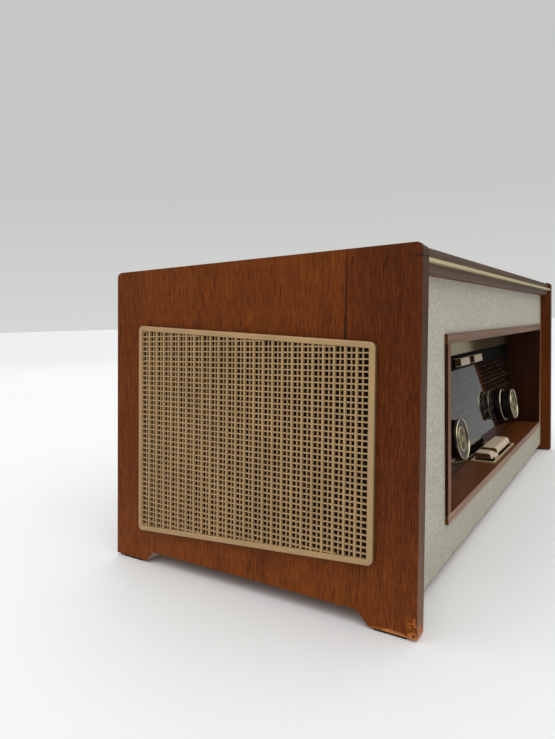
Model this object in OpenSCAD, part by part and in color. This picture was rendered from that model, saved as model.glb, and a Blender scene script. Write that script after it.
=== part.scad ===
// Tabletop stereo valve radio in a wooden case, with two side speakers,
// a recessed tuning dial, concentric knobs, piano keys and tone sliders.
// Units are millimetres, +Z is up, the front faces -Y.

/* [Case] */
// Width across the bottom of the two side panels
body_w = 656; // [600:1:720]
// Depth of the side panels
body_d = 300; // [270:1:330]
// Height of the side panels
body_h = 270; // [240:1:300]
// Thickness of a side panel
side_t = 13; // [10:0.5:18]
// Inward lean of the side panels, degrees
lean = 3.8; // [0:0.1:6]
// Height of the foot pads
pad_h = 2; // [1:0.5:5]
// Thickness of the top board
top_t = 17.4; // [14:0.1:24]
// Height of the notch under a side panel
notch_h = 9.7; // [5:0.1:20]

/* [Grille] */
// Depth of the grille moulding
grille_t = 5; // [3:0.5:8]
// Border width of the grille
grille_rim = 5; // [3:0.5:10]
// Half height of the grille at its front edge
grille_hf = 79; // [60:1:90]
// Half height of the grille at its back edge
grille_hb = 95.2; // [80:0.1:105]
// Pitch of the thick upright bars
bar_pitch = 9; // [6:0.5:12]

/* [Dial] */
// Left edge of the dial frame
frame_x0 = -214.5; // [-240:0.5:-200]
// Right edge of the dial frame
frame_x1 = 287; // [250:0.5:290]
// Bottom of the dial frame
frame_z0 = 43.6; // [35:0.1:55]
// Top of the dial frame
frame_z1 = 206.9; // [190:0.1:220]
// Thickness of the dial frame boards
frame_t = 8.2; // [6:0.1:12]
// Backward lean of the dial, degrees
tilt = 8.5; // [0:0.5:15]
// Distance of the left knobs from the centre plane
volume_x = -100.8; // [-130:0.1:-80]
// Distance of the right knobs from the centre plane
tuning_x = 170; // [140:1:200]

/* [Controls] */
// Diameter of a front knob
knob_d = 43.6; // [36:0.1:50]
// Diameter of a ring knob
ring_d = 48; // [40:0.5:56]
// Width of one piano key
key_w = 16.6; // [14:0.1:20]
// How far a key goes down, degrees
key_press = 6; // [3:0.5:8]
// Width of a tone slider
slider_w = 38; // [30:1:46]

/* [Hidden] */
$fn = 96;
edge = 0.01;
front_y = -body_d / 2;
back_y = body_d / 2;
top_z = pad_h + body_h;
lid_z1 = top_z - 2;
lid_z0 = lid_z1 - top_t;
lid_y = front_y + 4;
strip_z = lid_z1 - 10.3;
strip_h = 2.6;
chamfer = 2;
groove = 3;
skin_y = front_y + 14.5;
skin_t = 0.8;
ply_t = 8;
ply_y = skin_y + skin_t;
ply_z0 = 10;
floor_z0 = 14;
floor_z1 = floor_z0 + ply_t;
back_in = back_y - 12;
back_t = 3;
mid_x = (volume_x + tuning_x) / 2;
liner_y0 = front_y + 11.6;
liner_y1 = front_y + 80;
liner_d = liner_y1 - liner_y0;
liner_w = frame_x1 - frame_x0;
shelf_z = frame_z0 + frame_t;
dial_y = front_y + 45;
dial_x0 = frame_x0 + frame_t;
dial_w = liner_w - 2 * frame_t;
glass_t = 3;
glass_z1 = 108;
bezel_z1 = 126;
header_z1 = 146;
plate_y = 10;
plate_t = 1.5;
knob_z = 41;
run = 0.3;
shaft_r = 3;
tube_r = 4.6;
slot_z = 116.5;
slider_gap = 62.5;
grille_y0 = front_y + 31.6;
grille_y1 = back_y - 33.6;
grille_zc = 124.2;
speaker_y = -1;
baffle_t = 6;
cone_r = 72;
key_gap = 0.4;
key_n = 6;
bank_w = key_n * key_w + (key_n - 1) * key_gap;
bank_x0 = -12;
bank_open = bank_w + 7.4;
pivot_y = -75;
cheek_y = -92;
cheek_d = 28;
pivot_z = 44;
rod_r = 2;
chassis_x = 225;
chassis_y0 = -54;
chassis_y1 = 126;
chassis_z = 60;
sheet = 1.5;
gang_x = 96;
gang_y = -22;
gang_z = chassis_z + 24;

// Inner face of a side panel at height z
function inner_x(z) = body_w / 2 - side_t / cos(lean) - (z - pad_h) * tan(lean);

// Frame of the left side panel: outer face at x = 0, inward along +X
module on_left() {
    translate([-body_w / 2, 0, pad_h]) rotate([0, lean, 0]) children();
}

module on_right() {
    mirror([1, 0, 0]) on_left() children();
}

// Frame of the leaning dial: glass front at y = 0, up the glass along +Z
module on_dial() {
    translate([0, dial_y, shelf_z]) rotate([-tilt, 0, 0]) children();
}

// Knob axis at x: +Z points out of the glass
module on_axis(x) {
    on_dial() translate([x, 0, knob_z]) rotate([90, 0, 0]) children();
}

// Outline in Y and Z pushed along +X
module slab_x(x, t) {
    translate([x, 0, 0]) rotate([90, 0, 90]) linear_extrude(t) children();
}

// Board between the side panels, from y0 to y1 and z0 to z1
module between(y0, y1, z0, z1) {
    a = inner_x(z0);
    b = inner_x(z1);
    translate([0, y1, 0]) rotate([90, 0, 0]) linear_extrude(y1 - y0)
        polygon([[-a, z0], [a, z0], [b, z1], [-b, z1]]);
}

// Tapered outline with round corners, y0 to y1, half heights h0 and h1
module tapered(y0, y1, h0, h1, r) {
    s = atan((h1 - h0) / (y1 - y0));
    ha = h0 + r * tan(s) - r / cos(s);
    hb = h1 - r * tan(s) - r / cos(s);
    dy = r - r * sin(s);
    dz = r * cos(s);
    polygon([[y0, ha], [y0 + dy, ha + dz], [y1 - r - r * sin(s), hb + dz],
        [y1, hb], [y1, -hb], [y1 - r - r * sin(s), -hb - dz],
        [y0 + dy, -ha - dz], [y0, -ha]]);
    for (m = [-1, 1]) {
        translate([y0 + r, m * ha]) circle(r = r);
        translate([y1 - r, m * hb]) circle(r = r);
    }
}

// Grille outline pulled in by e
module grille_outline(e, r) {
    k = (grille_hb - grille_hf) / (grille_y1 - grille_y0);
    q = e * sqrt(1 + k * k);
    translate([0, grille_zc])
        tapered(grille_y0 + e, grille_y1 - e, grille_hf + k * e - q, grille_hb - k * e - q, r);
}

// Side panel outline with rounded corners and the notch between the feet
module side_outline() {
    r = 4;
    difference() {
        union() {
            translate([front_y, -2]) square([body_d, body_h + 2 - r]);
            translate([front_y + r, body_h - r - edge]) square([body_d - 2 * r, r + 1]);
            translate([front_y + r, body_h - r]) circle(r = r);
            translate([back_y - r, body_h - r]) circle(r = r);
        }
        polygon([[front_y + 36, -3], [front_y + 36, 0], [front_y + 45, notch_h],
            [back_y - 49, notch_h], [back_y - 40, 0], [back_y - 40, -3]]);
    }
}

module side_panel() {
    intersection() {
        translate([-body_w / 2 - 5, front_y - 1, pad_h]) cube([60, body_d + 2, body_h]);
        on_left() difference() {
            slab_x(0, side_t) side_outline();
            slab_x(-1, side_t + 2) grille_outline(8, 4);
        }
    }
}

module left_side_panel() {
    color("#6b3a1c") side_panel();
}

module right_side_panel() {
    color("#6b3a1c") mirror([1, 0, 0]) side_panel();
}

module top_board() {
    color("#6f3d1e") difference() {
        between(lid_y, back_y, lid_z0, lid_z1);
        translate([-body_w / 2, lid_y - 1, strip_z]) cube([body_w, groove + 1, strip_h]);
        translate([-body_w / 2, lid_y, lid_z0 - chamfer]) rotate([45, 0, 0])
            cube([body_w, chamfer * sqrt(2), chamfer * sqrt(2)]);
    }
}

module bottom_board() {
    color("#8a6a48") between(ply_y + ply_t, back_in, floor_z0, floor_z1);
}

// Opening of the dial frame through the front
module frame_hole(y, t) {
    translate([frame_x0, y, frame_z0]) cube([liner_w, t, frame_z1 - frame_z0]);
}

module front_board() {
    color("#8a6a48") difference() {
        between(ply_y, ply_y + ply_t, ply_z0, lid_z0);
        frame_hole(ply_y - 1, ply_t + 2);
    }
}

module front_cover() {
    color("#b3ad9b") difference() {
        between(skin_y, ply_y, ply_z0, lid_z0);
        frame_hole(skin_y - 1, skin_t + 2);
    }
}

module trim_strip() {
    color("#c8a24a") between(front_y, lid_y + groove, strip_z, strip_z + strip_h);
}

module dial_frame_top() {
    color("#6b3a1c") translate([frame_x0, liner_y0, frame_z1 - frame_t])
        cube([liner_w, liner_d, frame_t]);
}

module dial_frame_shelf() {
    color("#6b3a1c") difference() {
        translate([frame_x0, liner_y0, frame_z0]) cube([liner_w, 45, frame_t]);
        translate([bank_x0 - 1.5, front_y + 18, frame_z0 - 1]) cube([bank_open, 22, frame_t + 2]);
    }
}

module frame_end(x) {
    translate([x, liner_y0, shelf_z]) cube([frame_t, liner_d, frame_z1 - frame_t - shelf_z]);
}

module dial_frame_left() {
    color("#6b3a1c") frame_end(frame_x0);
}

module dial_frame_right() {
    color("#6b3a1c") frame_end(frame_x1 - frame_t);
}

module screw_spots() {
    for (x = [-240, 0, 240], z = [34, 240]) translate([x, back_in + back_t, z]) children();
}

module back_cover() {
    color("#7a5b3a") difference() {
        between(back_in, back_in + back_t, floor_z0, lid_z0);
        for (x = [-210:20:210], z = [150, 195])
            translate([x - 3, back_in - 1, z]) cube([6, back_t + 2, 30]);
        for (x = [-210:20:-90])
            translate([x - 3, back_in - 1, 60]) cube([6, back_t + 2, 30]);
        screw_spots() translate([0, 1, 0]) rotate([90, 0, 0]) cylinder(d = 4, h = back_t + 2);
    }
}

module back_screws() {
    color("#9a9a98") screw_spots() rotate([-90, 0, 0]) difference() {
        union() {
            cylinder(d = 8, h = 2.2);
            translate([0, 0, -10]) cylinder(d = 3.4, h = 10 + edge);
        }
        translate([-4.5, -0.5, 1.2]) cube([9, 1, 2]);
    }
}

module foot_pads() {
    color("#1c1a18") for (m = [0, 1]) mirror([m, 0, 0])
        for (y = [front_y + 8, back_y - 32])
            translate([-body_w / 2 + 1, y, 0]) cube([11, 24, pad_h]);
}

// Speaker grille: border, thick uprights, and thin rows behind them
module grille() {
    color("#a98b62") on_left() {
        slab_x(-grille_t, grille_t) difference() {
            grille_outline(0, 4.8);
            grille_outline(grille_rim, 1);
        }
        slab_x(-grille_t, 2.4) intersection() {
            grille_outline(grille_rim - edge, 1);
            for (i = [0:23]) translate([grille_y0 + 13.9 + i * bar_pitch - 0.85, 0]) square([1.7, 250]);
        }
        slab_x(-grille_t + 2.4 - edge, 1.2) intersection() {
            grille_outline(grille_rim - edge, 1);
            for (i = [-4:4]) translate([grille_y0, grille_zc + i * 18 - 0.6]) square([240, 1.2]);
        }
    }
}

module left_grille() {
    grille();
}

module right_grille() {
    mirror([1, 0, 0]) grille();
}

module baffle() {
    color("#2a2522") on_left() difference() {
        translate([side_t, -112, 28]) cube([baffle_t, 222, 190]);
        translate([side_t - 1, speaker_y, grille_zc]) rotate([0, 90, 0])
            cylinder(r = cone_r, h = baffle_t + 2);
    }
}

module left_baffle() {
    baffle();
}

module right_baffle() {
    mirror([1, 0, 0]) baffle();
}

// Speaker axis: +Z points into the case from the back of the baffle
module on_speaker() {
    on_left() translate([side_t + baffle_t, speaker_y, grille_zc]) rotate([0, 90, 0]) children();
}

module basket() {
    color("#8d8f90") on_speaker() difference() {
        rotate_extrude() polygon([[cone_r, 0], [82, 0], [82, 2], [76, 2], [34, 40], [34, 44],
            [12, 44], [12, 42], [31, 42], [31, 38.5], [73, 1.5], [cone_r, 1.5]]);
        for (a = [0:90:270]) rotate([0, 0, a + 45]) translate([79, 0, -1]) cylinder(d = 4, h = 5);
        for (a = [0:60:300]) rotate([0, 0, a]) translate([40, -12, 6]) cube([30, 24, 30]);
    }
}

module left_basket() {
    basket();
}

module right_basket() {
    mirror([1, 0, 0]) basket();
}

module cone() {
    color("#3a3530") on_speaker() rotate_extrude() polygon([[0, 27], [14, 29], [16, 34],
        [16, 33], [66, 1], [71, 0], [71, 0.8], [66.4, 2.2], [17.5, 35], [12, 35], [12, 31], [0, 28.4]]);
}

module left_cone() {
    cone();
}

module right_cone() {
    mirror([1, 0, 0]) cone();
}

module magnet() {
    color("#5a5c5e") on_speaker() {
        translate([0, 0, 44]) cylinder(r = 36, h = 3);
        translate([0, 0, 47 - edge]) cylinder(r = 32, h = 14);
        translate([0, 0, 61 - 2 * edge]) cylinder(r = 36, h = 5);
    }
}

module left_magnet() {
    magnet();
}

module right_magnet() {
    mirror([1, 0, 0]) magnet();
}

module chassis() {
    color("#9aa0a2") difference() {
        translate([-chassis_x, chassis_y0, floor_z1])
            cube([2 * chassis_x, chassis_y1 - chassis_y0, chassis_z - floor_z1]);
        translate([-chassis_x + sheet, chassis_y0 + sheet, floor_z1 - 1])
            cube([2 * (chassis_x - sheet), chassis_y1 - chassis_y0 - 2 * sheet,
                chassis_z - floor_z1 + 1 - sheet]);
    }
}

// Plate standing in the dial frame, from z0 to z1 up the lean
module dial_plate(y, t, z0, z1) {
    translate([dial_x0, y, z0]) cube([dial_w, t, z1 - z0]);
}

module shaft_holes(y, t, r) {
    for (x = [volume_x, tuning_x]) translate([x, y - 1, knob_z]) rotate([-90, 0, 0])
        cylinder(r = r, h = t + 2);
}

module dial_glass() {
    color("#20262a") on_dial() difference() {
        dial_plate(0, glass_t, 1, glass_z1);
        shaft_holes(0, glass_t, 7);
    }
}

module dial_backplate() {
    color("#1d1b1a") on_dial() difference() {
        dial_plate(plate_y, plate_t, 2.5, glass_z1);
        shaft_holes(plate_y, plate_t, 7);
    }
}

function slider_x(s) = mid_x + 5.4 + s * slider_gap / 2;

module slider_bezel() {
    color("#141312") on_dial() difference() {
        dial_plate(0, glass_t, glass_z1, bezel_z1);
        translate([-34, -1, slot_z - 5.6]) cube([144, 3, 11.2]);
        for (s = [-1, 1]) translate([slider_x(s) - 21, -1, slot_z - 2.5]) cube([42, glass_t + 2, 5]);
    }
}

module dial_header() {
    color("#c9a75a") on_dial() dial_plate(-1, glass_t + 1, bezel_z1, header_z1);
}

module pointer_rail() {
    color("#b9bbbb") on_dial() difference() {
        translate([dial_x0, 6, glass_z1 - 1.5]) cube([dial_w, 4, 6]);
        translate([dial_x0 + 10, 5, glass_z1]) cube([dial_w - 20, 4, 3]);
    }
}

// Needle with a carrier that runs along the rail
module dial_pointer() {
    color("#d8402c") on_dial() {
        translate([mid_x - 0.6, 4.3, 50]) cube([1.2, 1.2, 62]);
        translate([mid_x - 7, 4, glass_z1 + 0.3]) cube([14, 4.6, 2.4]);
    }
}

module key_plate() {
    color("#c8a24a") difference() {
        translate([bank_x0 - 4, front_y + 16, shelf_z]) cube([bank_open + 5, 27, 1.4]);
        translate([bank_x0 - 1.5, front_y + 18, shelf_z - 1]) cube([bank_open, 22, 4]);
    }
}

module key_cheeks() {
    color("#9aa0a2") difference() {
        union() {
            for (x = [bank_x0 - 4.5, bank_x0 + bank_w + 3])
                translate([x, cheek_y, floor_z1]) cube([sheet, cheek_d, 29]);
            translate([bank_x0 - 4.5, cheek_y, floor_z1]) cube([bank_w + 9, cheek_d, sheet]);
        }
        translate([bank_x0 - 10, pivot_y, pivot_z]) rotate([0, 90, 0]) cylinder(r = rod_r, h = bank_w + 20);
    }
}

module key_rod() {
    color("#b9bbbb") translate([bank_x0 - 5, pivot_y, pivot_z]) rotate([0, 90, 0])
        cylinder(r = rod_r, h = bank_w + 10);
}

// Key lever from the ivory cap down through the shelf and back to the rod
module key(i, press) {
    x = bank_x0 + i * (key_w + key_gap);
    color("#d8c8ae") translate([x, pivot_y, pivot_z]) rotate([press, 0, 0]) difference() {
        union() {
            rotate([90, 0, 90]) linear_extrude(key_w) polygon([[-54.8, 11], [-36.5, 11],
                [-36.5, 18.2], [-50.5, 18.2], [-53, 17], [-54.4, 14.6]]);
            translate([2, -48, -8]) cube([key_w - 4, 9, 20]);
            translate([2, -48, -8]) cube([key_w - 4, 46, 6]);
            translate([2, 0, 0]) rotate([0, 90, 0]) cylinder(r = 5.5, h = key_w - 4);
        }
        translate([-1, 0, 0]) rotate([0, 90, 0]) cylinder(r = rod_r + run, h = key_w + 2);
    }
}

module key_1() {
    key(0, 0);
}

module key_2() {
    key(1, key_press);
}

module key_3() {
    key(2, 0);
}

module key_4() {
    key(3, 0);
}

module key_5() {
    key(4, 0);
}

module key_6() {
    key(5, 0);
}

// Tone slider: cap in front, stem through the slot, keeper behind
module slider(s) {
    color("#e2d8bf") on_dial() translate([slider_x(s), 0, slot_z]) {
        difference() {
            translate([-slider_w / 2, -7, -5]) cube([slider_w, 8.6, 10]);
            translate([-slider_w / 2 + 2, -8, -6]) cube([1.2, 1.6, 12]);
        }
        translate([-8, 1.5, -2]) cube([16, 2.4, 4]);
        translate([-10, 3.4, -2]) cube([20, 1.1, 4]);
    }
}

module bass_slider() {
    slider(-1);
}

module treble_slider() {
    slider(1);
}

// Front knob on a solid shaft
module knob() {
    color("#171513") {
        rotate_extrude() polygon([[0, 10.2], [knob_d / 2 - 1.4, 10.2], [knob_d / 2 - 0.4, 11.2],
            [knob_d / 2 - 1.2, 19.1], [knob_d / 2, 20.1], [knob_d / 2, 21.6], [knob_d / 2 - 1, 22.6],
            [knob_d / 2 - 3, 22.6], [knob_d / 2 - 4.5, 20.8], [13, 20.2], [13, 19], [0, 19]]);
        translate([0, 0, -24]) cylinder(r = shaft_r, h = 35);
    }
}

module knob_disc() {
    color("#d9cfae") rotate_extrude() polygon([[0, 19], [12.9, 19], [12.9, 21.2], [12, 21.8], [0, 22.4]]);
}

// Ring knob on a tube round the solid shaft
module ring_knob() {
    color("#171513") rotate_extrude() polygon([[shaft_r + run, -18], [tube_r, -18], [tube_r, 1.2],
        [ring_d / 2 - 1, 1.2], [ring_d / 2, 2], [ring_d / 2 - 0.5, 7], [ring_d / 2 - 1.5, 9],
        [ring_d / 2 - 3, 9.4], [shaft_r + run, 9.4]]);
}

module volume_knob() {
    on_axis(volume_x) knob();
}

module volume_disc() {
    on_axis(volume_x) knob_disc();
}

module balance_ring() {
    on_axis(volume_x) ring_knob();
}

module tuning_knob() {
    on_axis(tuning_x) knob();
}

module tuning_disc() {
    on_axis(tuning_x) knob_disc();
}

module band_ring() {
    on_axis(tuning_x) ring_knob();
}

// Can with a bore for the tube, fixed behind the backplate
module control_can(r, x) {
    z = -plate_y - plate_t;
    color("#a8aaa6") on_axis(x) difference() {
        translate([0, 0, z - 16]) cylinder(r = r, h = 16);
        translate([0, 0, z - 15]) cylinder(r = tube_r + run, h = 20);
    }
}

module volume_control() {
    control_can(15, volume_x);
}

module tuning_bearing() {
    control_can(12, tuning_x);
}

module gang_stator() {
    color("#b3b6b6") translate([gang_x, gang_y, chassis_z]) difference() {
        union() {
            translate([-22, -22, 0]) cube([44, 44, 2]);
            for (x = [-22, 20.5]) translate([x, -22, 0]) cube([1.5, 44, 34]);
            for (x = [-16:4:16]) translate([x - 0.4, -18, 2 - edge]) cube([0.8, 36, 14]);
        }
        translate([-30, 0, 24]) rotate([0, 90, 0]) cylinder(r = shaft_r + run, h = 60);
    }
}

module gang_rotor() {
    color("#c9cccc") translate([gang_x, gang_y, gang_z]) {
        translate([-24, 0, 0]) rotate([0, 90, 0]) cylinder(r = shaft_r, h = 56);
        for (x = [-14:4:14]) translate([x - 0.4, 0, 0]) rotate([0, 90, 0]) difference() {
            cylinder(r = 17, h = 0.8);
            translate([-20, -20, -1]) cube([40, 20, 3]);
        }
    }
}

// Glass valve on its socket
module valve(h) {
    rotate_extrude() polygon([[0, 0], [13, 0], [13, 6], [10.5, 6], [10.5, h - 9], [8, h - 4],
        [3, h - 1], [1, h + 3], [0, h + 3]]);
}

module valves() {
    color("#aeb4b4") for (p = [[-60, 20, 55], [-20, 20, 55], [20, 40, 60], [60, 70, 72], [110, 70, 72],
        [160, 60, 60]]) translate([p[0], p[1], chassis_z]) valve(p[2]);
}

// Laminated core with a coil through it
module transformer(w, d, h) {
    translate([-w / 2, -d / 4, 0]) cube([w, d / 2, h]);
    translate([-w / 2 + 6, -d / 2, 6]) cube([w - 12, d, h - 12]);
}

module output_transformers() {
    color("#6a5a48") for (x = [-90, -30]) translate([x, 90, chassis_z]) transformer(46, 36, 42);
}

module mains_transformer() {
    color("#6a5a48") translate([-170, 70, chassis_z]) transformer(80, 70, 74);
}

module smoothing_can() {
    color("#b8bcbe") translate([-160, 5, chassis_z]) {
        cylinder(d = 35, h = 68);
        translate([0, 0, 68 - edge]) cylinder(d = 29, h = 2);
    }
}

module aerial_rod() {
    color("#3c3936") {
        translate([-110, 90, 232]) rotate([0, 90, 0]) cylinder(d = 10, h = 220);
        for (x = [-70, 66]) translate([x, 87.5, 234]) cube([4, 5, lid_z0 - 234]);
    }
}

module socket_panel() {
    color("#6a4a2c") difference() {
        translate([40, back_in + back_t, 44]) cube([150, 3, 44]);
        for (x = [60, 80, 110, 130], z = [56, 76])
            translate([x, back_in + back_t + 7, z]) rotate([90, 0, 0]) cylinder(d = 4.2, h = 6);
        translate([165, back_in + back_t + 7, 66]) rotate([90, 0, 0]) cylinder(d = 15, h = 6);
    }
}

module mains_inlet() {
    color("#1c1a18") translate([-40, back_in + back_t, 66]) rotate([-90, 0, 0]) difference() {
        union() {
            cylinder(d = 24, h = 3);
            cylinder(d = 14, h = 8);
        }
        translate([0, 0, 2]) cylinder(d = 8, h = 8);
    }
}

left_side_panel();
right_side_panel();
top_board();
bottom_board();
front_board();
front_cover();
trim_strip();
dial_frame_top();
dial_frame_shelf();
dial_frame_left();
dial_frame_right();
back_cover();
back_screws();
foot_pads();
left_grille();
right_grille();
left_baffle();
right_baffle();
left_basket();
right_basket();
left_cone();
right_cone();
left_magnet();
right_magnet();
chassis();
dial_glass();
dial_backplate();
slider_bezel();
dial_header();
pointer_rail();
dial_pointer();
key_plate();
key_cheeks();
key_rod();
key_1();
key_2();
key_3();
key_4();
key_5();
key_6();
bass_slider();
treble_slider();
volume_knob();
volume_disc();
balance_ring();
tuning_knob();
tuning_disc();
band_ring();
volume_control();
tuning_bearing();
gang_stator();
gang_rotor();
valves();
output_transformers();
mains_transformer();
smoothing_can();
aerial_rod();
socket_panel();
mains_inlet();
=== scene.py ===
"""Tabletop valve radio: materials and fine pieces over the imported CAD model.

All lengths are in metres, in the CAD frame: x to the right, y to the back, z up.
"""

import math

import bmesh
import bpy
from mathutils import Matrix, Vector


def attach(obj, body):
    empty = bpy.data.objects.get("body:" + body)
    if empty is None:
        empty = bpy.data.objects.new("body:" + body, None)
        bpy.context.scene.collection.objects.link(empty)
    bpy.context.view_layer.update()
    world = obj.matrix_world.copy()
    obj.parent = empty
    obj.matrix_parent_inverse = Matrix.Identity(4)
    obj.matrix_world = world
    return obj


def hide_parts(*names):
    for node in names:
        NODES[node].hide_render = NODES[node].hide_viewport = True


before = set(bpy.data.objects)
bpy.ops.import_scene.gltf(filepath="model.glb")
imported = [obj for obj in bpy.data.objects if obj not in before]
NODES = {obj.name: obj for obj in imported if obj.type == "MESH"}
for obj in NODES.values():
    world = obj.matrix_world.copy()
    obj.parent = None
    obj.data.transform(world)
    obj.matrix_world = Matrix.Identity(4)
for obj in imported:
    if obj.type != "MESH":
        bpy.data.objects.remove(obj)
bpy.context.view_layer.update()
scene = bpy.context.scene
scene.view_settings.view_transform = "Standard"
scene.view_settings.look = "None"

# ---------------------------------------------------------------- camera
CAM_AT = Vector((-0.67995, -0.2743, 0.21976))
YAW, PITCH, ROLL = (math.radians(v) for v in (56.64, 4.73, -1.58))
fwd = Vector((math.sin(YAW) * math.cos(PITCH), math.cos(YAW) * math.cos(PITCH), -math.sin(PITCH)))
right = Vector((math.cos(YAW), -math.sin(YAW), 0))
up = right.cross(fwd)
right2 = right * math.cos(ROLL) + up * math.sin(ROLL)
up2 = up * math.cos(ROLL) - right * math.sin(ROLL)
SENSOR_MM, LENS_MM = 36, 27.14
CLIP_START = 0.01
cam = bpy.data.objects.new("camera", bpy.data.cameras.new("camera"))
scene.collection.objects.link(cam)
cam.data.sensor_width = SENSOR_MM
cam.data.lens = LENS_MM
cam.data.clip_start = CLIP_START
cam.matrix_world = Matrix((right2, up2, -fwd)).transposed().to_4x4()
cam.matrix_world.translation = CAM_AT
scene.camera = cam

# ---------------------------------------------------------------- sizes
LEAN = math.radians(3.8)  # of each side board, inwards
TILT = math.radians(8.5)  # of the dial glass, backwards
HALF_W = 0.328  # middle of the case to a side board's outer face, at its foot
PAD = 0.002  # height of the foot pads
SHELF_Z = 0.0518  # top of the shelf, where the dial glass stands
DIAL_Y = -0.105
DIAL_X0, DIAL_X1 = -0.2063, 0.2788
KNOB_Z = 0.041  # knob axis above the shelf, along the glass
VOLUME_X, TUNING_X = -0.1008, 0.170
SHARP = math.radians(35)  # edges sharper than this are bevelled

# Frames to build in: the front of the dial glass, and the outer face of the left side board.
DIAL = Matrix.Translation((0, DIAL_Y, SHELF_Z)) @ Matrix.Rotation(-TILT, 4, "X")
LEFT = Matrix.Translation((-HALF_W, 0, PAD)) @ Matrix.Rotation(LEAN, 4, "Y")


def axis_frame(x):
    """Knob axis: +Z points out of the glass."""
    return DIAL @ Matrix.Translation((x, 0, KNOB_Z)) @ Matrix.Rotation(math.pi / 2, 4, "X")


# ---------------------------------------------------------------- materials
def lin(r, g, b):
    """sRGB 0 to 255 as a linear RGBA."""
    out = []
    for c in (r, g, b):
        c /= 255
        out.append(c / 12.92 if c <= 0.04045 else ((c + 0.055) / 1.055) ** 2.4)
    return (*out, 1)


def shade(rgb, k):
    """The colour of an sRGB triple times k."""
    return lin(*[v * k for v in rgb])


class Mat:
    """A material under construction, with short calls for its nodes."""

    def __init__(self, name):
        self.mat = bpy.data.materials.new(name)
        self.mat.use_nodes = True
        self.tree = self.mat.node_tree
        self.bsdf = self.tree.nodes["Principled BSDF"]
        self.coord = self.tree.nodes.new("ShaderNodeTexCoord").outputs["Object"]

    def put(self, socket, value):
        if isinstance(value, bpy.types.NodeSocket):
            self.tree.links.new(value, socket)
        else:
            socket.default_value = value

    def node(self, kind, **props):
        n = self.tree.nodes.new(kind)
        for k, v in props.items():
            setattr(n, k, v)
        return n

    def mapped(self, scale, rotation=(0, 0, 0)):
        n = self.node("ShaderNodeMapping")
        self.put(n.inputs["Vector"], self.coord)
        n.inputs["Scale"].default_value = scale
        n.inputs["Rotation"].default_value = rotation
        return n.outputs["Vector"]

    def noise(self, scale=(1, 1, 1), detail=4, rough=0.6, distort=0.0, turn=(0, 0, 0)):
        n = self.node("ShaderNodeTexNoise")
        self.put(n.inputs["Vector"], self.mapped(scale, turn))
        n.inputs["Scale"].default_value = 1
        n.inputs["Detail"].default_value = detail
        n.inputs["Roughness"].default_value = rough
        n.inputs["Distortion"].default_value = distort
        return n.outputs["Fac"]

    def cells(self, scale, feature):
        n = self.node("ShaderNodeTexVoronoi", feature=feature)
        self.put(n.inputs["Vector"], self.mapped(scale))
        n.inputs["Scale"].default_value = 1
        return n.outputs["Distance"]

    def ramp(self, fac, a, b):
        """0 at a and 1 at b. The table behind it has 256 steps over the range 0 to 1."""
        c0, c1 = (0, 0, 0, 1), (1, 1, 1, 1)
        if a > b:
            a, b, c0, c1 = b, a, c1, c0
        n = self.node("ShaderNodeValToRGB")
        self.put(n.inputs["Fac"], fac)
        n.color_ramp.elements[0].position = a
        n.color_ramp.elements[1].position = b
        n.color_ramp.elements[0].color = c0
        n.color_ramp.elements[1].color = c1
        return n.outputs["Color"]

    def fade(self, value, a, b):
        """0 at a and 1 at b, exact for spans of a fraction of a millimetre."""
        n = self.node("ShaderNodeMapRange", clamp=True)
        self.put(n.inputs["Value"], value)
        n.inputs["From Min"].default_value = a
        n.inputs["From Max"].default_value = b
        return n.outputs["Result"]

    def math(self, op, a, b=0.0, clamp=False):
        n = self.node("ShaderNodeMath", operation=op, use_clamp=clamp)
        self.put(n.inputs[0], a)
        self.put(n.inputs[1], b)
        return n.outputs[0]

    def plus(self, a, b):
        return self.math("ADD", a, b)

    def minus(self, a, b):
        return self.math("SUBTRACT", a, b)

    def times(self, a, b):
        return self.math("MULTIPLY", a, b)

    def away(self, a, at):
        """Distance of a from the value at."""
        return self.math("ABSOLUTE", self.minus(a, at))

    def mix(self, fac, a, b, blend="MIX"):
        n = self.node("ShaderNodeMix", data_type="RGBA", blend_type=blend)
        self.put(n.inputs["Factor"], fac)
        self.put(n.inputs[6], a)
        self.put(n.inputs[7], b)
        return n.outputs[2]

    def tint(self, color, r, g, b):
        """A colour times three factors."""
        return self.mix(1.0, color, (r, g, b, 1), "MULTIPLY")

    def xyz(self, socket=None):
        n = self.node("ShaderNodeSeparateXYZ")
        self.put(n.inputs[0], socket or self.coord)
        return n.outputs

    def normal(self):
        g = self.node("ShaderNodeNewGeometry")
        return self.xyz(g.outputs["Normal"])

    def bump(self, height, strength, distance):
        n = self.node("ShaderNodeBump")
        n.inputs["Strength"].default_value = strength
        n.inputs["Distance"].default_value = distance
        self.put(n.inputs["Height"], height)
        self.put(self.bsdf.inputs["Normal"], n.outputs["Normal"])

    def done(self, color, rough, metallic=0.0, **more):
        self.put(self.bsdf.inputs["Base Color"], color)
        self.put(self.bsdf.inputs["Roughness"], rough)
        self.put(self.bsdf.inputs["Metallic"], metallic)
        for k, v in more.items():
            self.put(self.bsdf.inputs[k.replace("_", " ")], v)
        return self.mat


# Marks on the left side board, in its own y and z.
CHIP_Y, CHIP_Z = -0.148, 0.004
NICK_Y, NICK_Z = -0.1486, 0.2592
SCORE_Z = 0.2628
CRACK_Y = -0.0933


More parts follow.
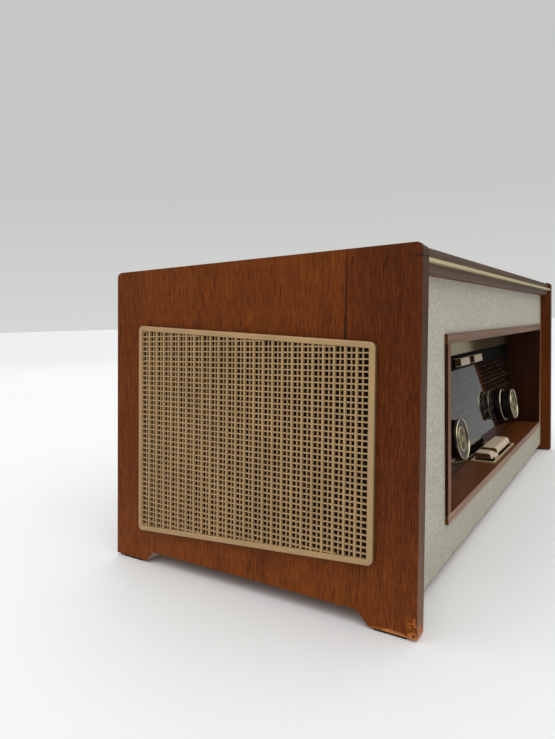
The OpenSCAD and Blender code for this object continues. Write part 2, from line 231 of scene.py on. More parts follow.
def board_wear_and_sheen(m, c, face):
    """The left board's marks: knocked corners, a score, a rubbed foot and a split between two leaves, and a
    painted reflection of the floor that makes the foot paler.
    """
    _, y, z = m.xyz()
    # knocked lower front corner, with a dark core
    chip = m.plus(m.away(y, CHIP_Y), m.times(m.away(z, CHIP_Z), 0.42))
    chip = m.plus(chip, m.times(m.minus(m.noise((170, 170, 170), 4, 0.7), 0.5), 0.022))
    c = m.mix(m.fade(chip, 0.0052, 0.0036), c, lin(176, 98, 40))
    c = m.mix(m.fade(chip, 0.0014, 0.0006), c, lin(52, 34, 22))
    # nick under the upper front corner, kept off the front edge
    nick = m.plus(m.away(y, NICK_Y), m.away(z, NICK_Z))
    nick = m.plus(nick, m.times(m.noise((420, 420, 420), 2, 0.6), 0.004))
    c = m.mix(m.times(m.fade(nick, 0.0038, 0.0022), m.minus(1.0, face)), c, lin(150, 80, 30))
    # short dark score above it
    score = m.times(m.fade(m.away(z, SCORE_Z), 0.0008, 0.0004), m.fade(y, -0.1440, -0.1452))
    c = m.mix(m.times(score, 0.8), c, lin(46, 28, 16))
    # rubbed underside of the front foot
    foot = m.plus(z, m.times(m.noise((160, 60, 160), 4, 0.7), 0.0085))
    rubbed = m.times(m.fade(foot, 0.0082, 0.0070), m.fade(y, -0.112, -0.128))
    c = m.mix(rubbed, c, lin(186, 118, 58))
    # the leaf in front of the split is darker and the front darker still; the paler foot is a painted
    # reflection of the bright floor
    leaf = m.times(m.fade(y, CRACK_Y + 0.0004, CRACK_Y - 0.0004), m.ramp(z, 0.1, 0.24))
    c = m.mix(m.times(leaf, 0.5), c, m.tint(c, 0.60, 0.54, 0.50))
    c = m.mix(m.times(m.fade(y, -0.06, -0.135), 0.7), c, m.tint(c, 0.70, 0.64, 0.58))
    c = m.mix(m.times(m.ramp(z, 0.085, 0.0), 0.8), c, m.tint(c, 1.45, 1.55, 1.7))
    # the split, which wanders and narrows towards the top
    wander = m.times(m.minus(m.noise((30, 30, 30), 2, 0.5), 0.5), 0.0014)
    line = m.math("ABSOLUTE", m.plus(m.minus(y, CRACK_Y), wander))
    width = m.times(m.ramp(z, 0.270, 0.205), 0.0007)
    crack = m.times(m.fade(m.minus(line, width), 0.0004, 0.0), m.ramp(z, 0.196, 0.208))
    return m.mix(m.times(crack, 0.85), c, lin(26, 14, 8))


def wood(name, mid, dark, light, grain="Z", edge=None, rough=0.38, wear_and_sheen=False):
    """Open-pored veneer: broad bands, fine streaks along the grain and dark pores.

    edge is the colour of the faces that look to the front.
    """
    m = Mat(name)

    def along(across, length):
        """Noise scale across the grain and along it."""
        s = [across] * 3
        s["XYZ".index(grain)] = length
        return s

    bands = m.noise(along(26, 2.2), 3, 0.55, 0.6)
    streaks = m.noise(along(640, 9), 4, 0.66, 0.6)
    fine = m.noise(along(1500, 30), 2, 0.6)
    pores = m.noise(along(1150, 40), 2, 0.5)
    cloud = m.noise((9, 9, 9), 3, 0.5)
    c = m.mix(m.ramp(bands, 0.3, 0.72), lin(*dark), lin(*mid))
    c = m.mix(m.times(m.ramp(streaks, 0.5, 0.78), 0.62), c, lin(*light))
    c = m.mix(m.times(m.ramp(fine, 0.48, 0.7), 0.5), c, lin(*light))
    c = m.mix(m.times(m.ramp(pores, 0.42, 0.30), 0.7), c, shade(dark, 0.45))
    c = m.mix(m.ramp(cloud, 0.25, 0.8), c, m.tint(c, 0.80, 0.74, 0.70))
    if edge:
        face = m.ramp(m.times(m.normal()[1], -1.0), 0.3, 0.6)
        lines = m.ramp(m.noise(along(900, 9), 3, 0.6), 0.35, 0.7)
        front = m.mix(lines, shade(edge, 0.72), lin(*edge))
        # the front faces get lighter towards the floor: a painted reflection of the bright floor
        front = m.mix(m.ramp(m.xyz()[2], 0.2, 0.0), front, m.tint(front, 1.7, 1.75, 1.8))
        c = m.mix(face, c, front)
    if wear_and_sheen:
        c = board_wear_and_sheen(m, c, face)
    height = m.plus(m.times(streaks, 0.4), m.times(m.ramp(pores, 0.26, 0.36), 0.6))
    m.bump(height, 0.22, 0.0004)
    gloss = m.plus(rough - 0.06, m.times(fine, 0.16))
    return m.done(c, gloss, Specular_IOR_Level=0.16)


def plain(name, rgb, rough, metallic=0.0, spread=0.12, scale=60, bump=0.05, bump_scale=900, **more):
    """Moulded or painted surface: slow colour drift, fine grain and uneven gloss."""
    m = Mat(name)
    drift = m.noise((scale,) * 3, 3, 0.5)
    fine = m.noise((bump_scale,) * 3, 3, 0.6)
    c = m.mix(m.ramp(drift, 0.3, 0.7), shade(rgb, 1 - spread), lin(*rgb))
    m.bump(fine, bump, 0.0003)
    gloss = m.math("ADD", rough - 0.05, m.times(m.noise((scale * 3,) * 3, 2, 0.5), 0.1), True)
    return m.done(c, gloss, metallic, **more)


def brushed(name, rgb, rough=0.3, along="X", metallic=1.0):
    """Metal with fine lines drawn along one axis."""
    m = Mat(name)
    s = [2600] * 3
    s["XYZ".index(along)] = 12
    lines = m.noise(s, 3, 0.6)
    dull = m.noise((40, 40, 40), 3, 0.5)
    c = m.mix(m.ramp(lines, 0.3, 0.7), shade(rgb, 0.86), lin(*rgb))
    c = m.mix(m.times(m.ramp(dull, 0.5, 0.8), 0.25), c, shade(rgb, 0.7))
    m.bump(lines, 0.08, 0.0002)
    return m.done(c, m.plus(rough, m.times(lines, 0.12)), metallic)


RIVET_X, RIVET_Z = -0.191, 0.0106


def leathercloth(name):
    """Pale cream covering with a small pebbled grain, shallow creases and one dark rivet low down."""
    m = Mat(name)
    pebble = m.cells((640, 640, 640), "SMOOTH_F1")
    crease = m.cells((330, 330, 330), "DISTANCE_TO_EDGE")
    ripple = m.noise((210, 210, 560), 3, 0.5, 0.7, (0, 0.7, 0))
    soil = m.noise((11, 11, 11), 4, 0.6)
    x, _, z = m.xyz()
    height = m.plus(m.times(pebble, 0.5), m.times(ripple, 0.9))
    height = m.plus(height, m.times(m.ramp(crease, 0.0, 0.12), 0.35))
    c = m.mix(m.ramp(ripple, 0.38, 0.58), lin(184, 179, 161), lin(201, 197, 181))
    c = m.mix(m.times(m.ramp(soil, 0.45, 0.8), 0.22), c, lin(168, 160, 136))
    c = m.mix(m.times(m.ramp(z, 0.05, 0.012), 0.3), c, lin(176, 164, 132))
    rivet = m.plus(m.math("POWER", m.minus(x, RIVET_X), 2.0), m.math("POWER", m.minus(z, RIVET_Z), 2.0))
    c = m.mix(m.fade(m.math("SQRT", rivet), 0.0014, 0.0009), c, lin(24, 20, 18))
    m.bump(height, 0.9, 0.0008)
    return m.done(c, 0.5, Specular_IOR_Level=0.35)


def dial_glass_material():
    """Dark glass that nothing shows through, with soft rows of tone and faint smears in its gloss."""
    m = Mat("smoked_dial_glass")
    smear = m.noise((30, 12, 50), 3, 0.5)
    rows = m.noise((2, 2, 520), 2, 0.5)
    c = m.mix(m.ramp(rows, 0.4, 0.7), lin(9, 7, 5), lin(24, 20, 15))
    rough = m.plus(0.02, m.times(m.ramp(smear, 0.4, 0.8), 0.05))
    coat = dict(Coat_Weight=0.9, Coat_Roughness=0.01, Coat_IOR=1.5)
    return m.done(c, rough, 0.0, Specular_IOR_Level=0.6, **coat)


CASE = dict(mid=(122, 57, 10), dark=(88, 39, 4), light=(156, 84, 18))
M_SIDE = wood("veneer_side", **CASE, grain="Z", edge=(114, 78, 56), wear_and_sheen=True)
# the right board is the case veneer painted darker: painted shade for the face that looks away from the
# light
RIGHT_SHADED = dict(mid=(112, 52, 9), dark=(80, 35, 4), light=(144, 77, 16))
M_SIDE_R_SHADED = wood("veneer_side_right_painted_shade", **RIGHT_SHADED, grain="Z", edge=(104, 72, 50))
M_LID = wood("veneer_lid", **CASE, grain="X", edge=(108, 86, 68))
LINER = dict(mid=(108, 60, 22), dark=(78, 42, 14), light=(140, 86, 38))
M_LINER = wood("veneer_liner", **LINER, grain="X", edge=(146, 114, 92))
LINER_END = dict(mid=(58, 26, 8), dark=(38, 16, 5), light=(80, 40, 14))
M_LINER_END = wood("veneer_liner_end", **LINER_END, grain="Z", edge=(132, 88, 62))
M_PLY = wood("bare_plywood", (176, 142, 98), (150, 116, 76), (196, 164, 120), grain="X", rough=0.6)
M_BAFFLE = plain("baffle_black", (26, 24, 22), 0.8, bump=0.3)
M_BOARD = plain("pressed_hardboard", (116, 84, 54), 0.7, spread=0.09, scale=24, bump=0.35, bump_scale=700)
M_PAX = plain("socket_board", (104, 66, 38), 0.45, spread=0.15)
M_CLOTH = leathercloth("cream_leathercloth")
M_GILT = brushed("gilt_strip", (244, 228, 178), 0.30, metallic=0.45)
M_HEADER = brushed("gilt_header", (240, 226, 180), 0.04, metallic=0.9)
M_TAN = plain("tan_moulding", (186, 152, 106), 0.42, spread=0.08, bump=0.12, scale=25)
M_GLASS = dial_glass_material()
M_BLACK = plain("black_bakelite", (20, 18, 17), 0.24, spread=0.2, bump=0.04, Coat_Weight=0.4)
M_BEZEL = plain("slot_black", (12, 10, 9), 0.75, spread=0.2, bump=0.04, Specular_IOR_Level=0.15)
M_SATIN = plain("satin_black", (22, 20, 19), 0.5, spread=0.2, bump=0.15)
M_IVORY = plain("ivory_plastic", (226, 206, 176), 0.34, spread=0.07, scale=120, bump=0.05, Coat_Weight=0.25)
M_RIM = brushed("pale_gold_rim", (212, 202, 172), 0.10, "Z")
M_DISC = brushed("spun_disc", (226, 212, 158), 0.2, "Z")
M_STAR = plain("star_dark", (66, 54, 30), 0.35, bump=0.02)
M_NEEDLE = plain("red_needle", (196, 52, 34), 0.4)
M_RUBBER = plain("black_rubber", (22, 22, 21), 0.75, bump=0.4)
M_ZINC = brushed("zinc_plate", (176, 176, 170), 0.34)
M_GREY = plain("grey_hammer_paint", (132, 136, 138), 0.4, bump=0.25, bump_scale=420, metallic=0.3)
M_PAPER = plain("pressed_paper", (46, 42, 38), 0.85, spread=0.2, bump=0.5, bump_scale=500)
M_ALU = brushed("satin_aluminium", (196, 198, 198), 0.32, "Z")
M_IRON = plain("varnished_core", (92, 74, 58), 0.5, spread=0.25, bump=0.3)
M_FERRITE = plain("dark_ferrite", (44, 42, 42), 0.5, bump=0.2)
M_VALVE = plain("valve_glass", (196, 202, 200), 0.06, spread=0.05, bump=0.0, Transmission_Weight=0.85)
M_SHADOW = plain("speaker_cloth_painted_shade", (17, 14, 12), 0.95, spread=0.25, bump=0.5, bump_scale=1400)
M_PRINT = plain("dial_print", (152, 138, 108), 0.06, spread=0.25, scale=160, bump=0.0,
                Coat_Weight=0.9, Coat_Roughness=0.01)
# brown under the ivory caps: painted shade on the open sides of the keys and sliders, and the colour of the
# hidden lever parts
M_BROWN_SHADE = plain("brown_phenolic_painted_shade", (96, 62, 32), 0.5, spread=0.25, scale=90)
# the grille rim's outer edge: the tan moulding painted darker, as painted shade
M_RIM_SHADE = plain("tan_moulding_edge_painted_shade", (104, 86, 56), 0.6, spread=0.12)
M_KNURL = plain("ribbed_black", (16, 15, 14), 0.34, spread=0.1, bump=0.05)

FINISH = {
    "left_side_panel": M_SIDE, "right_side_panel": M_SIDE_R_SHADED, "top_board": M_LID, "bottom_board": M_PLY,
    "front_board": M_PLY, "front_cover": M_CLOTH, "trim_strip": M_GILT, "dial_frame_top": M_LINER,
    "dial_frame_shelf": M_LINER, "dial_frame_left": M_LINER_END, "dial_frame_right": M_LINER_END,
    "back_cover": M_BOARD, "back_screws": M_ZINC, "foot_pads": M_RUBBER, "left_grille": M_TAN,
    "right_grille": M_TAN, "left_baffle": M_BAFFLE, "right_baffle": M_BAFFLE, "left_basket": M_GREY,
    "right_basket": M_GREY, "left_cone": M_PAPER, "right_cone": M_PAPER, "left_magnet": M_GREY,
    "right_magnet": M_GREY, "chassis": M_ZINC, "dial_glass": M_GLASS, "dial_backplate": M_SATIN,
    "slider_bezel": M_BEZEL, "dial_header": M_HEADER, "pointer_rail": M_ZINC, "dial_pointer": M_NEEDLE,
    "key_plate": M_GILT, "key_cheeks": M_ZINC, "key_rod": M_ZINC, "bass_slider": M_IVORY,
    "treble_slider": M_IVORY, "volume_knob": M_BLACK, "tuning_knob": M_BLACK, "volume_disc": M_DISC,
    "tuning_disc": M_DISC, "balance_ring": M_BLACK, "band_ring": M_BLACK, "volume_control": M_ALU,
    "tuning_bearing": M_ALU, "gang_stator": M_ALU, "gang_rotor": M_ALU, "valves": M_VALVE,
    "output_transformers": M_IRON, "mains_transformer": M_IRON, "smoothing_can": M_ALU,
    "aerial_rod": M_FERRITE, "socket_panel": M_PAX, "mains_inlet": M_SATIN,
}
for i in range(1, 7):
    FINISH[f"key_{i}"] = M_IVORY
for name, o in NODES.items():
    o.data.materials.clear()
    o.data.materials.append(FINISH[name])


def round_edges(o, width):
    """Rounds the sharp edges of an object with a modifier."""
    b = o.modifiers.new("soft_edges", "BEVEL")
    b.width = width
    b.segments = 2
    b.limit_method = "ANGLE"
    b.angle_limit = SHARP


SOFTENED = {
    "left_side_panel": 0.0022, "right_side_panel": 0.0022, "top_board": 0.0008, "dial_frame_top": 0.0007,
    "dial_frame_shelf": 0.0007, "dial_frame_left": 0.0007, "dial_frame_right": 0.0007, "trim_strip": 0.0009,
    "key_plate": 0.0005, "foot_pads": 0.0004, "socket_panel": 0.0004, "back_cover": 0.0003,
    "dial_header": 0.0003,
}
for name, width in SOFTENED.items():
    round_edges(NODES[name], width)

# ---------------------------------------------------------------- mesh helpers
def outward(bm):
    """Points the faces of closed shells outwards."""
    bmesh.ops.recalc_face_normals(bm, faces=bm.faces)
    return bm


def join(bm, part, matrix):
    """Moves a bmesh, adds it to another and frees it."""
    part.transform(matrix)
    tmp = bpy.data.meshes.new("tmp")
    part.to_mesh(tmp)
    bm.from_mesh(tmp)
    part.free()
    bpy.data.meshes.remove(tmp)


def link_loops(bm, a, b):
    """Faces between two loops of as many points."""
    for i in range(len(a)):
        j = (i + 1) % len(a)
        bm.faces.new((a[i], a[j], b[j], b[i]))


def make(name, bm, mat, body, matrix=None, slot=None, smooth=None, bevel=0.0, node=None):
    """Turns a bmesh into a piece that rides on a body, and may stand in for a CAD node."""
    if matrix is not None:
        bm.transform(matrix)
        if matrix.determinant() < 0:
            bmesh.ops.reverse_faces(bm, faces=bm.faces)
    me = bpy.data.meshes.new(name)
    bm.to_mesh(me)
    bm.free()
    o = bpy.data.objects.new(name, me)
    scene.collection.objects.link(o)
    me.materials.append(mat)
    if smooth is not None:
        for p in me.polygons:
            p.use_smooth = True
        me.set_sharp_from_angle(angle=math.radians(smooth))
    if bevel:
        round_edges(o, bevel)
    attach(o, body)
    if node:
        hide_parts(node)
    return o


def add_box(bm, x0, x1, y0, y1, z0, z1):
    v = [bm.verts.new((x, y, z)) for x in (x0, x1) for y in (y0, y1) for z in (z0, z1)]
    for f in ((0, 1, 3, 2), (4, 6, 7, 5), (0, 4, 5, 1), (2, 3, 7, 6), (0, 2, 6, 4), (1, 5, 7, 3)):
        bm.faces.new([v[i] for i in f])


def add_lathe(bm, profile, steps=96, ribs=None):
    """Turns (r, z) points round Z. ribs = (first, last, count, depth) presses flutes in those rows."""
    on_axis = 1e-7
    rings = []
    for k, (r, z) in enumerate(profile):
        if r < on_axis:
            rings.append([bm.verts.new((0, 0, z))])
            continue
        ring = []
        for i in range(steps):
            a = 2 * math.pi * i / steps
            q = r
            if ribs and ribs[0] <= k <= ribs[1]:
                q -= ribs[3] * (0.5 - 0.5 * math.cos(a * ribs[2])) ** 2
            ring.append(bm.verts.new((q * math.cos(a), q * math.sin(a), z)))
        rings.append(ring)
    for a, b in zip(rings, rings[1:]):
        n = max(len(a), len(b))
        for i in range(n):
            j = (i + 1) % n
            if len(a) == 1:
                bm.faces.new((a[0], b[j], b[i]))
            elif len(b) == 1:
                bm.faces.new((a[i], a[j], b[0]))
            else:
                bm.faces.new((a[i], a[j], b[j], b[i]))


def lathe(name, profile, mat, body, matrix, steps=96, ribs=None, smooth=35, **more):
    """A turned piece from an (r, z) profile."""
    bm = bmesh.new()
    add_lathe(bm, profile, steps, ribs)
    return make(name, outward(bm), mat, body, matrix, smooth=smooth, **more)


# ---------------------------------------------------------------- grilles
# The outline is a trapezium in y and z, taller at the back, centred on the height G_ZC.
G_Y0, G_Y1 = -0.1184, 0.1164  # front and back edge
G_HF, G_HB = 0.079, 0.0952  # half its height at each
G_ZC = 0.1242
SLOPE = (G_HB - G_HF) / (G_Y1 - G_Y0)
RIM_IN = 0.0047  # the outline to where the bars end, inside the rim
CORNER = 0.0048
# Upright bars: count, first y, outer x, inner x, half width. Wide ones in front, thin ones behind.
UPRIGHT_PITCH = 0.009
UPRIGHTS = (24, -0.1045, -0.0047, -0.0018, 0.00085), (25, -0.1090, -0.0036, -0.0016, 0.0005)
ROW_Z0, ROW_PITCH, ROW_HALF = 0.1243, 0.00446, 0.00058
ROW_X0, ROW_X1 = -0.0040, -0.0017
ROWS_EACH_WAY = 22
ROW_ROOM = 0.0006  # kept free between a cross bar and the outline


def half_height(y, inset):
    """Half the height of the outline at y, pulled in by inset."""
    return G_HF + SLOPE * (y - G_Y0) - inset * math.sqrt(1 + SLOPE * SLOPE)


def tapered_ring(inset, r, n=8):
    """Points (y, z) of the tapered outline, pulled in by inset, with corner radius r."""
    s = math.atan(SLOPE)
    pts = []
    ya, yb = G_Y0 + inset + r, G_Y1 - inset - r
    for yc, sign, a0, a1 in (
        (yb, 1, 0, math.pi / 2 + s), (ya, 1, math.pi / 2 + s, math.pi),
        (ya, -1, math.pi, 1.5 * math.pi - s), (yb, -1, 1.5 * math.pi - s, 2 * math.pi),
    ):
        zc = sign * half_height(yc, inset + r)
        for i in range(n + 1):
            a = a0 + (a1 - a0) * i / n
            pts.append((yc + r * math.cos(a), G_ZC + zc + r * math.sin(a)))
    return pts


def add_rim(bm, rows):
    """Closed band through rings of points, one for each row (x, inset, radius)."""
    rings = [[bm.verts.new((x, y, z)) for y, z in tapered_ring(e, r)] for x, e, r in rows]
    for a, b in zip(rings, rings[1:] + rings[:1]):
        link_loops(bm, a, b)


def cross_bar(bm, z):
    """One bar along y. It starts further back where the outline is too low for it."""
    reach = abs(z - G_ZC) + ROW_ROOM
    y0 = G_Y0 + RIM_IN
    y1 = G_Y1 - RIM_IN
    if reach > half_height(y1, RIM_IN):
        return
    h0 = half_height(y0, RIM_IN)
    if reach > h0:
        y0 += (reach - h0) / SLOPE
    add_box(bm, ROW_X0, ROW_X1, y0, y1, z - ROW_HALF, z + ROW_HALF)


def grille(side):
    """The lattice with its rim, and behind it a near-black cloth sheet that is painted shade."""
    mirror = Matrix.Scale(-1, 4, (1, 0, 0)) if side == "right" else Matrix.Identity(4)
    place = mirror @ LEFT
    bm = bmesh.new()
    add_rim(bm, [
        (-0.0001, 0.0, CORNER), (-0.0034, 0.0, CORNER), (-0.0044, 0.0003, 0.0045), (-0.0049, 0.0010, 0.0038),
        (-0.005, 0.0016, 0.0032), (-0.005, 0.0040, 0.0010), (-0.0047, 0.0045, 0.0007),
        (-0.0030, 0.0048, 0.0005), (-0.0004, 0.0048, 0.0005),
    ])
    for count, first, x0, x1, half in UPRIGHTS:
        for i in range(count):
            y = first + UPRIGHT_PITCH * i
            h = half_height(y, RIM_IN)
            add_box(bm, x0, x1, y - half, y + half, G_ZC - h, G_ZC + h)
    for i in range(-ROWS_EACH_WAY, ROWS_EACH_WAY + 1):
        cross_bar(bm, ROW_Z0 + i * ROW_PITCH)
    lattice = make(f"{side}_grille_lattice", outward(bm), M_TAN, "cabinet", place,
                   slot="grille_plastic", bevel=0.00022, node=f"{side}_grille")
    # The first faces are the rim's outer edge, which is painted darker as shade.
    lattice.data.materials.append(M_RIM_SHADE)
    edge_faces = len(tapered_ring(0, CORNER))
    for p in list(lattice.data.polygons)[:edge_faces]:
        p.material_index = 1
    # a near-black sheet just behind the bars: painted shade in the grille's opening
    bm = bmesh.new()
    ring = tapered_ring(0.0050, 0.0006)
    back = [bm.verts.new((-0.0003, y, z)) for y, z in ring]
    front = [bm.verts.new((-0.0013, y, z)) for y, z in ring]
    bm.faces.new(back)
    bm.faces.new(front[::-1])
    link_loops(bm, front, back)
    make(f"{side}_speaker_cloth", outward(bm), M_SHADOW, "cabinet", place, slot="paper_cone")


grille("left")
grille("right")

# ---------------------------------------------------------------- knobs
# Outlines are (radius, height above the glass).
KNOB = [
    (0.003, -0.0236), (0.003, 0.0104), (0.0196, 0.0104), (0.0203, 0.0108), (0.0205, 0.0114),
    (0.0201, 0.0160), (0.0199, 0.0192), (0.0206, 0.0202), (0.0209, 0.0208), (0.0175, 0.0202),
    (0.0150, 0.0196), (0.0134, 0.0194), (0.0, 0.0192),
]
KNOB_RIM = [
    (0.0206, 0.0198), (0.0213, 0.0198), (0.02175, 0.0203), (0.0218, 0.0210), (0.0217, 0.0218),
    (0.0214, 0.0223), (0.0210, 0.0225), (0.0206, 0.0222), (0.0203, 0.0214), (0.0202, 0.0204),
    (0.0206, 0.0198),
]
ANNULUS = [
    (0.0203, 0.0210), (0.0175, 0.0206), (0.0140, 0.0204), (0.0129, 0.0207), (0.0129, 0.0198),
    (0.0203, 0.0198), (0.0203, 0.0210),
]
RING = [
    (0.0033, -0.018), (0.0046, -0.018), (0.0046, 0.0013), (0.0222, 0.0013), (0.0230, 0.0018),
    (0.0233, 0.0026), (0.0230, 0.0060), (0.0226, 0.0076), (0.0212, 0.0086), (0.0190, 0.0090),
    (0.0033, 0.0092), (0.0033, -0.018),
]
RING_RIM = [
    (0.0226, 0.0066), (0.0233, 0.0066), (0.0238, 0.0070), (0.0240, 0.0076), (0.0238, 0.0083),
    (0.0232, 0.0088), (0.0224, 0.0090), (0.0216, 0.0088), (0.0214, 0.0082), (0.0226, 0.0066),
]
DISC = [(0.0128, 0.0194), (0.0128, 0.0210), (0.0125, 0.0213), (0.0119, 0.0214), (0.0114, 0.0212)]
for k in range(8):  # fine turned grooves
    r = 0.0110 - 0.0013 * k
    DISC += [(r, 0.0214 + 0.00006 * k), (r - 0.0006, 0.0212 + 0.00006 * k)]
DISC += [(0.0, 0.0217)]
FLUTES, FLUTE_DEPTH = 80, 0.00025
SPOKES = 12


def knob_set(tag, x, knob_body, ring_body, knob_node, disc_node, ring_node):
    """A front knob with its metal disc, and the ring knob behind it, on one axis."""
    ax = axis_frame(x)
    lathe(f"{tag}_knob_body", KNOB, M_KNURL, knob_body, ax, 240, (3, 6, FLUTES, FLUTE_DEPTH),
          slot="black_plastic", node=knob_node)
    lathe(f"{tag}_knob_rim", KNOB_RIM, M_RIM, knob_body, ax, 120, slot="disc_gilt", smooth=60)
    lathe(f"{tag}_knob_annulus", ANNULUS, M_BLACK, knob_body, ax, slot="black_plastic")
    lathe(f"{tag}_knob_disc", DISC, M_DISC, knob_body, ax, slot="disc_gilt", smooth=20, node=disc_node)
    bm = bmesh.new()
    for k in range(SPOKES):
        spoke = bmesh.new()
        add_box(spoke, 0.0035, 0.0108, -0.00035, 0.00035, 0.0213, 0.0218)
        join(bm, spoke, Matrix.Rotation(k * 2 * math.pi / SPOKES, 4, "Z"))
    make(f"{tag}_knob_spokes", outward(bm), M_STAR, knob_body, ax, slot="disc_gilt")
    lathe(f"{tag}_ring_body", RING, M_KNURL, ring_body, ax, 240, (5, 7, FLUTES, FLUTE_DEPTH),
          slot="black_plastic", node=ring_node)
    lathe(f"{tag}_ring_rim", RING_RIM, M_RIM, ring_body, ax, 120, slot="disc_gilt", smooth=60)


knob_set("volume", VOLUME_X, "volume_knob", "balance_ring", "volume_knob", "volume_disc", "balance_ring")
knob_set("tuning", TUNING_X, "tuning_knob", "band_ring", "tuning_knob", "tuning_disc", "band_ring")

# ---------------------------------------------------------------- keys and tone sliders
KEY_W, KEY_GAP, BANK_X0 = 0.0166, 0.0004, -0.012
KEYS, KEY_DOWN = 6, 1  # how many, and which one rests pressed, counted from 0
KEY_TRAVEL = math.radians(6)
PIVOT_Y, PIVOT_Z = -0.075, 0.044
CAP_BACK, CAP_FOOT = -0.0365, 0.0112
ARM_IN = 0.002  # the arm's side, in from the key's
BEARING_R, ROD_R = 0.0055, 0.0023
SKIN = 0.0001  # kept between a cap and the core inside it
# Outlines are (y, z) from the pivot rod: the cap's outside from the back down to the front, and back.
CAP_OUTER = [
    (CAP_BACK, 0.0177), (-0.0372, 0.0182), (-0.0500, 0.0182), (-0.0516, 0.0179), (-0.0529, 0.0170),
    (-0.0538, 0.0155), (-0.0544, 0.0135), (-0.0548, CAP_FOOT),
]
CAP_INNER = [
    (-0.0536, CAP_FOOT), (-0.0532, 0.0134), (-0.0526, 0.0150), (-0.0518, 0.0162), (-0.0508, 0.0168),
    (-0.0498, 0.0169), (CAP_BACK, 0.0169),
]


def extrude_x(bm, pts, x0, x1):
    """Pushes a (y, z) outline along X."""
    a = [bm.verts.new((x0, y, z)) for y, z in pts]
    b = [bm.verts.new((x1, y, z)) for y, z in pts]
    bm.faces.new(a)
    bm.faces.new(b[::-1])
    for i in range(len(pts)):
        j = (i + 1) % len(pts)
        bm.faces.new((a[i], b[i], b[j], a[j]))


def piano_key(i, press):
    """Key i from the left: an ivory cap over a brown lever that turns on the rod. The lever fills the cap,
    and its brown is painted shade on the key's open sides.
    """
    name = f"key_{i + 1}"
    x0 = BANK_X0 + i * (KEY_W + KEY_GAP)
    place = Matrix.Translation((x0, PIVOT_Y, PIVOT_Z)) @ Matrix.Rotation(press, 4, "X")
    bm = bmesh.new()
    extrude_x(bm, CAP_OUTER + CAP_INNER, 0, KEY_W)
    make(f"{name}_cap", outward(bm), M_IVORY, name, place, slot="ivory", bevel=0.0005)
    bm = bmesh.new()
    core = [(y + SKIN if y < -0.04 else y, z - SKIN) for y, z in CAP_INNER + [(CAP_BACK, CAP_FOOT)]]
    extrude_x(bm, core, 0.0004, KEY_W - 0.0004)
    add_box(bm, ARM_IN, KEY_W - ARM_IN, -0.048, -0.039, -0.008, 0.0105)
    add_box(bm, ARM_IN, KEY_W - ARM_IN, -0.0385, -0.004, -0.008, -0.002)
    bearing = bmesh.new()
    length = KEY_W - 0.004
    add_lathe(bearing, [(ROD_R, 0), (BEARING_R, 0), (BEARING_R, length), (ROD_R, length), (ROD_R, 0)], 32)
    join(bm, bearing, Matrix.Translation((ARM_IN, 0, 0)) @ Matrix.Rotation(math.pi / 2, 4, "Y"))
    make(f"{name}_lever", outward(bm), M_BROWN_SHADE, name, place, slot="ivory", bevel=0.0002, node=name)


for i in range(KEYS):
    piano_key(i, KEY_TRAVEL if i == KEY_DOWN else 0)

SLOT_Z = 0.1165  # the sliders' slot above the shelf, along the glass
SLIDER_W = 0.038
SLIDERS_X, SLIDER_STEP = 0.040, 0.03125  # middle of the pair, and each slider to either side of it
# Outlines are (y, z) round the slot: the cap's thin shell and the core that fills it.
SLIDER_SHELL = [
    (0.0012, -0.0050), (-0.0058, -0.0050), (-0.0066, -0.0047), (-0.0070, -0.0040), (-0.0070, 0.0040),
    (-0.0066, 0.0047), (-0.0058, 0.0050), (0.0012, 0.0050), (0.0012, 0.0042), (-0.0056, 0.0042),
    (-0.0060, 0.0036), (-0.0060, -0.0036), (-0.0056, -0.0042), (0.0012, -0.0042),
]
SLIDER_CORE = [
    (0.0014, -0.0041), (-0.0055, -0.0041), (-0.0059, -0.0035), (-0.0059, 0.0035), (-0.0055, 0.0041),
    (0.0014, 0.0041),
]


def tone_slider(body, x):
    """An ivory cap with its core, the neck through the slot and the plate behind it. The core's brown shows
    at the cap's ends as painted shade.
    """
    place = DIAL @ Matrix.Translation((x, 0, SLOT_Z))
    h = SLIDER_W / 2
    bm = bmesh.new()
    extrude_x(bm, SLIDER_SHELL, -h, h)
    make(f"{body}_cap", outward(bm), M_IVORY, body, place, slot="ivory", bevel=0.0002)
    bm = bmesh.new()
    extrude_x(bm, SLIDER_CORE, -h + 0.0003, h - 0.0003)
    add_box(bm, -0.008, 0.008, 0.0015, 0.0038, -0.002, 0.002)
    add_box(bm, -0.010, 0.010, 0.0039, 0.0045, -0.002, 0.002)
    make(f"{body}_core", outward(bm), M_BROWN_SHADE, body, place, slot="ivory", bevel=0.0002, node=body)


tone_slider("bass_slider", SLIDERS_X - SLIDER_STEP)
tone_slider("treble_slider", SLIDERS_X + SLIDER_STEP)

# ---------------------------------------------------------------- dial print
# Plain lines, ticks and dashes with no lettering. Heights are along the glass from the shelf.
PRINT_Y = -0.00006  # just in front of the glass
LINES_Z = (0.0220, 0.0305, 0.0420, 0.0535, 0.0650, 0.0790)
BOLD_Z = (0.0420, 0.0790)
LINE_MARGIN = 0.012
SCALES = (0.0650, 0.0062, 60), (0.0535, 0.0083, 45), (0.0420, 0.0071, 52), (0.0305, 0.0095, 40)
DASH_ROWS, DASHES = 14, 30
DASH_Z0, DASH_RISE = 0.0255, 0.0058
DASH_X0, DASH_STEP = 0.022, 0.0149

bm = bmesh.new()


def tick(x, z, w, h):
    """One printed rectangle, from its lower left corner."""
    corners = ((x, z), (x + w, z), (x + w, z + h), (x, z + h))
    bm.faces.new([bm.verts.new((px, PRINT_Y, pz)) for px, pz in corners])


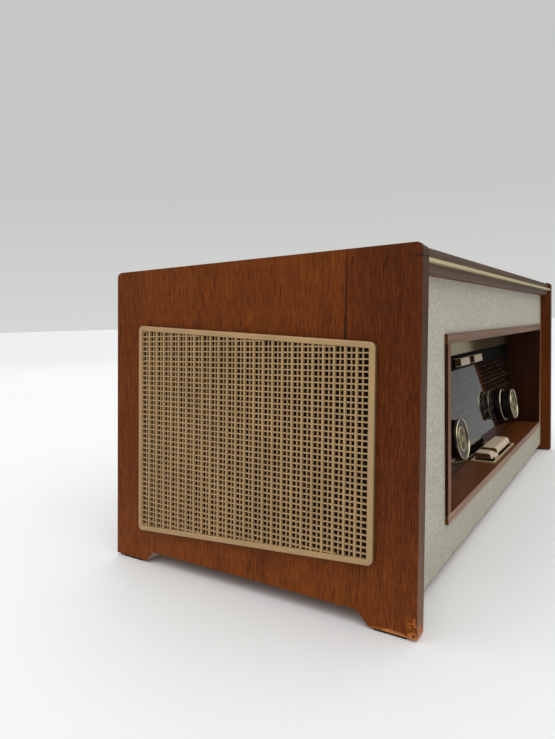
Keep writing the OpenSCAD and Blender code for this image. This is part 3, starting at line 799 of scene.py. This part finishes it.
for z in LINES_Z:
    tick(DIAL_X0 + LINE_MARGIN, z, DIAL_X1 - DIAL_X0 - 2 * LINE_MARGIN, 0.0006 if z in BOLD_Z else 0.0004)
for z, step, count in SCALES:
    for k in range(count):
        x = DIAL_X0 + 0.030 + k * step
        if x < DIAL_X1 - 0.03:
            tick(x, z, 0.0003, 0.0034 if k % 5 == 0 else 0.0018)
for row in range(DASH_ROWS):
    z = DASH_Z0 + DASH_RISE * row
    for k in range(DASHES):
        # the remainders make starts and lengths uneven, the same in each run
        x = DIAL_X0 + DASH_X0 + k * DASH_STEP + 0.0016 * ((row * 5 + k * 3) % 4)
        if x < DIAL_X1 - 0.034:
            tick(x, z + 0.0012, 0.0060 + 0.0018 * ((k * 7 + row * 3) % 4), 0.0005)
make("dial_print", bm, M_PRINT, "cabinet", DIAL, slot="dial_black")

# ---------------------------------------------------------------- stage and light
FLOOR_HALF = 60  # half the floor's width
SKY = 1.3  # strength of the sky that lights the radio

bm = bmesh.new()
CORNERS = (-1, -1), (1, -1), (1, 1), (-1, 1)
bm.faces.new([bm.verts.new((a * FLOOR_HALF, b * FLOOR_HALF, 0)) for a, b in CORNERS])
me = bpy.data.meshes.new("floor")
bm.to_mesh(me)
bm.free()
floor = bpy.data.objects.new("floor", me)
scene.collection.objects.link(floor)
me.materials.append(plain("pale_floor", (246, 248, 250), 0.6, spread=0.015, scale=2, bump=0.0))
# Sharp reflections leave the floor out, so the dial glass mirrors the soft background.
floor.visible_glossy = False

world = bpy.data.worlds.new("soft_studio")
scene.world = world
world.use_nodes = True
nt = world.node_tree
nt.nodes.clear()
tc = nt.nodes.new("ShaderNodeTexCoord")
sep = nt.nodes.new("ShaderNodeSeparateXYZ")
nt.links.new(tc.outputs["Generated"], sep.inputs[0])
# height of the ray: 0 straight down, 0.5 level, 1 straight up
rise = nt.nodes.new("ShaderNodeMath")
rise.operation = "MULTIPLY_ADD"
rise.inputs[1].default_value = 0.5
rise.inputs[2].default_value = 0.5
nt.links.new(sep.outputs["Z"], rise.inputs[0])


def backdrop(stops, strength):
    """A background shader whose colour follows the height of the ray."""
    r = nt.nodes.new("ShaderNodeValToRGB")
    nt.links.new(rise.outputs[0], r.inputs["Fac"])
    e = r.color_ramp.elements
    while len(e) < len(stops):
        e.new(0.5)
    for item, (at, color) in zip(e, stops):
        item.position = at
        item.color = color
    g = nt.nodes.new("ShaderNodeBackground")
    g.inputs["Strength"].default_value = strength
    nt.links.new(r.outputs["Color"], g.inputs["Color"])
    return g.outputs[0]


# What the camera sees is a plain pale background. What lights the radio is brighter overhead.
seen = backdrop([(0.0, lin(222, 224, 223)), (0.47, lin(216, 218, 216)), (0.62, lin(198, 199, 197))], 1.0)
cast = backdrop([(0.0, (0.56, 0.56, 0.57, 1)), (0.5, (0.17, 0.17, 0.175, 1)), (0.62, (0.24, 0.24, 0.24, 1)),
                 (0.80, (0.8, 0.8, 0.79, 1)), (1.0, (1.0, 1.0, 0.98, 1))], SKY)
path = nt.nodes.new("ShaderNodeLightPath")
both = nt.nodes.new("ShaderNodeMixShader")
nt.links.new(path.outputs["Is Camera Ray"], both.inputs[0])
nt.links.new(cast, both.inputs[1])
nt.links.new(seen, both.inputs[2])
out = nt.nodes.new("ShaderNodeOutputWorld")
nt.links.new(both.outputs[0], out.inputs[0])


LOOK_AT = Vector((0, 0, 0.1))


def area(name, at, size, power, color):
    """A square area light that looks at LOOK_AT, low in the middle of the radio."""
    lamp = bpy.data.lights.new(name, "AREA")
    lamp.shape = "RECTANGLE"
    lamp.size = size
    lamp.size_y = size
    lamp.energy = power
    lamp.color = color
    o = bpy.data.objects.new(name, lamp)
    scene.collection.objects.link(o)
    o.location = at
    o.rotation_euler = (LOOK_AT - Vector(at)).to_track_quat("-Z", "Y").to_euler()


area("key_light", (-1.2, -1.6, 2.4), 2.2, 11, (1.0, 0.985, 0.96))
area("back_fill", (1.0, 2.0, 2.0), 2.0, 5, (0.96, 0.98, 1.0))
